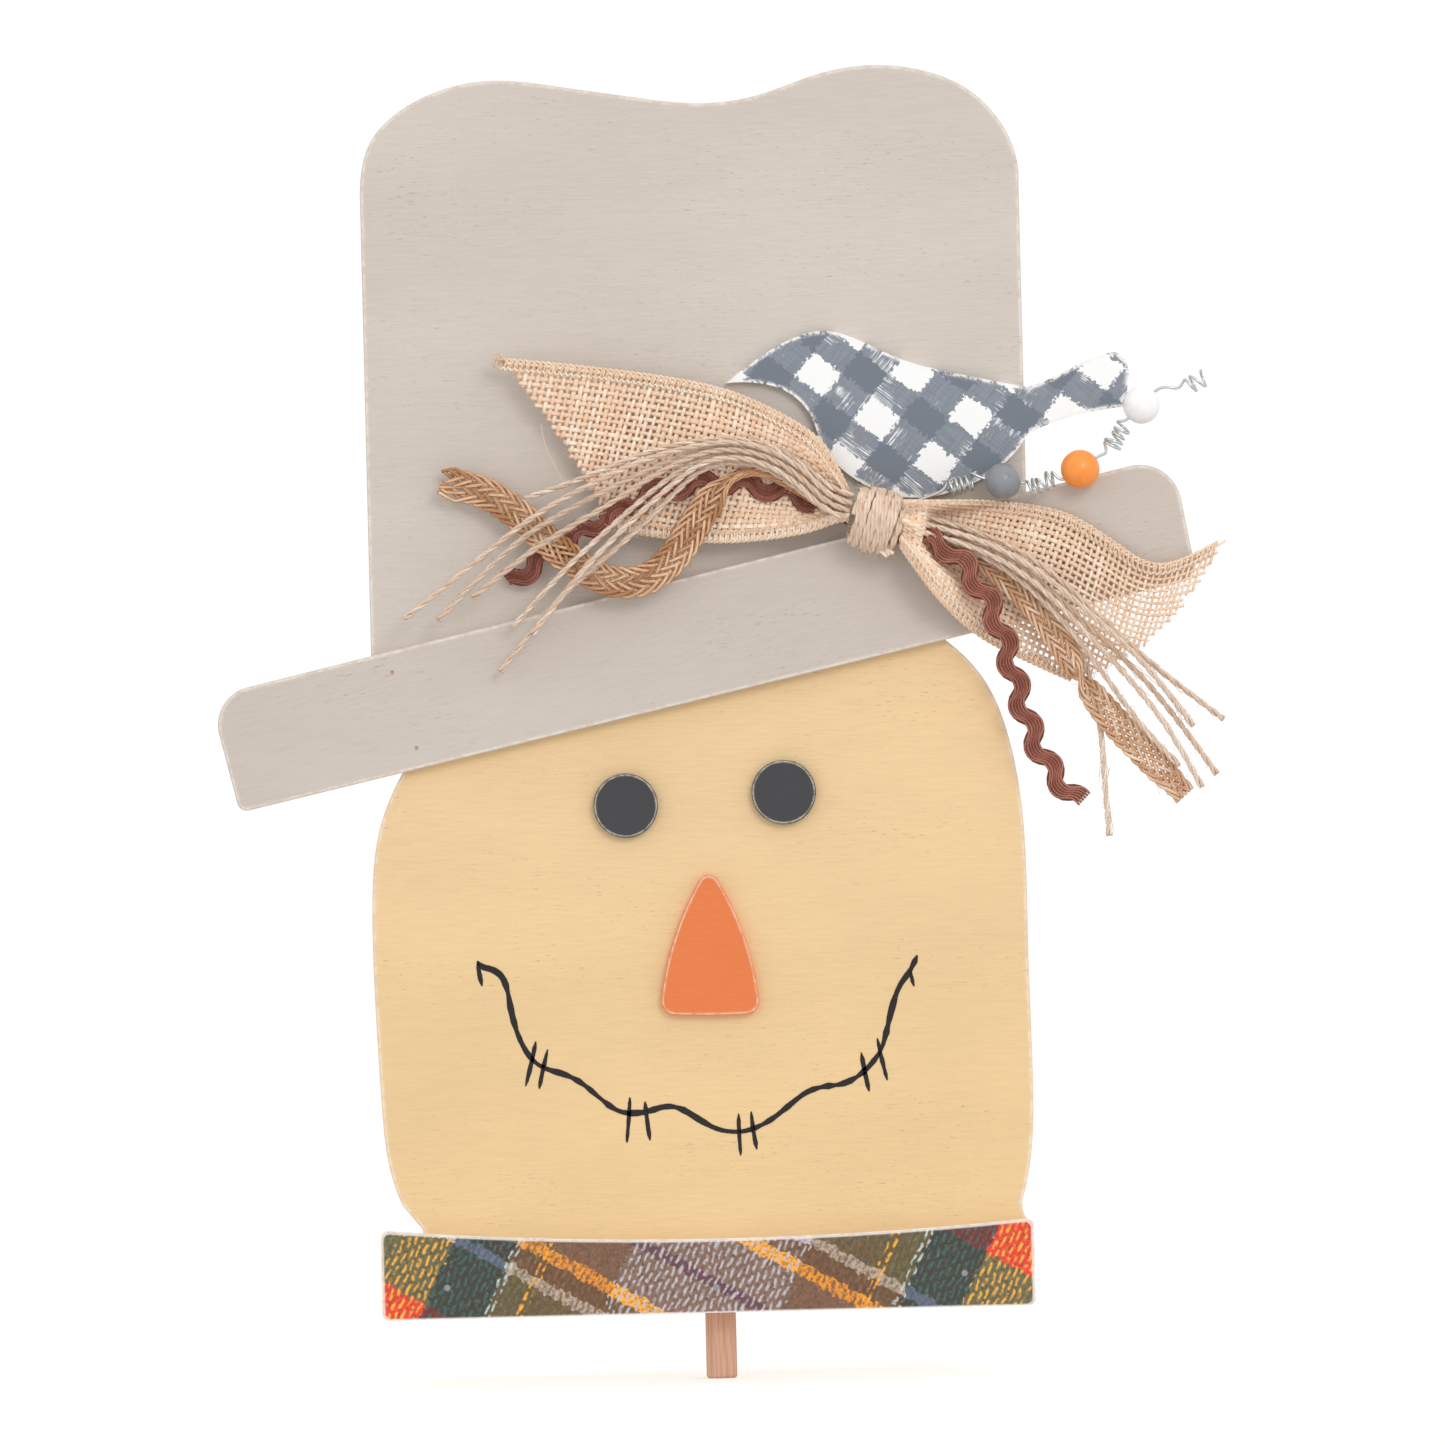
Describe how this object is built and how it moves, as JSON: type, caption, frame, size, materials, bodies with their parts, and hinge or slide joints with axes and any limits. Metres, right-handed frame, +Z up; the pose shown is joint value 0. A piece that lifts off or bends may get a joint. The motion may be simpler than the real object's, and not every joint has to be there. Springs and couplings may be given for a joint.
{
  "type": "scarecrow figure",
  "caption": "Flat scarecrow head cut from a board, with hat, collar, burlap bow, crow and beaded wire, standing on a peg.",
  "frame": {"origin": "middle of the peg where it leaves the board's bottom edge", "axes": "+X to the viewer's right, -Y out of the figure's face, +Z up the figure"},
  "size_m": [0.3118, 0.0411, 0.4055],
  "materials": {
    "painted_board": "matt paint over board",
    "hat_paint": "matt paint, sanded edges",
    "eye_paint": "matt paint, sanded edges",
    "nose_paint": "matt paint, sanded edges",
    "collar_wood": "bare sanded edges",
    "printed_paper": "matt printed paper, plaid",
    "crow_print": "distressed check, sanded edges",
    "dowel": "bare sanded dowel",
    "brad_steel": "bright steel",
    "hot_glue": "cloudy glue",
    "burlap": "open woven jute",
    "jute_twine": "hairy two-ply twine",
    "jute_braid": "flat plaited jute",
    "rickrack": "woven cotton rick-rack",
    "craft_wire": "bright wire",
    "bead_grey_paint": "satin paint",
    "bead_orange_paint": "satin paint",
    "bead_white_paint": "satin paint"
  },
  "bodies": {
    "figure": {"head_board": "painted_board", "hat_brim": "hat_paint", "eye_left": "eye_paint", "eye_right": "eye_paint", "nose": "nose_paint", "collar": "collar_wood", "collar_paper": "printed_paper", "crow": "crow_print", "peg": "dowel", "collar_brads": "brad_steel", "brim_brads": "brad_steel", "bow_glue": "hot_glue", "burlap_ribbon": "burlap", "twine_wrap": "jute_twine", "rickrack_left": "rickrack", "rickrack_right": "rickrack", "braid_left": "jute_braid", "braid_right": "jute_braid", "twine_left_1": "jute_twine", "twine_left_2": "jute_twine", "twine_left_3": "jute_twine", "twine_left_4": "jute_twine", "twine_left_5": "jute_twine", "twine_left_6": "jute_twine", "twine_left_7": "jute_twine", "twine_right_1": "jute_twine", "twine_right_2": "jute_twine", "twine_right_3": "jute_twine", "twine_right_4": "jute_twine", "twine_right_5": "jute_twine", "twine_right_6": "jute_twine"},
    "wire": {"bead_wire": "craft_wire"},
    "grey_bead": {"bead_grey": "bead_grey_paint"},
    "orange_bead": {"bead_orange": "bead_orange_paint"},
    "white_bead": {"bead_white": "bead_white_paint"}
  },
  "joints": [
    {"name": "wire_sway", "type": "hinge", "parent": "figure", "child": "wire", "pos_m": [0.0665, -0.0206, 0.2495], "axis": [0.342, 0, -0.9397], "range_deg": [0, 12], "stiffness_Nm_per_rad": 0.02},
    {"name": "bead_grey_spin", "type": "hinge", "parent": "wire", "child": "grey_bead", "pos_m": [0.0936, -0.0206, 0.255], "axis": [0.9903, 0, -0.1392], "continuous": true},
    {"name": "bead_orange_spin", "type": "hinge", "parent": "wire", "child": "orange_bead", "pos_m": [0.1175, -0.0206, 0.2581], "axis": [0.8192, 0, 0.5736], "continuous": true},
    {"name": "bead_white_spin", "type": "hinge", "parent": "wire", "child": "white_bead", "pos_m": [0.1369, -0.0206, 0.2774], "axis": [0.6947, 0, 0.7193], "continuous": true}
  ]
}
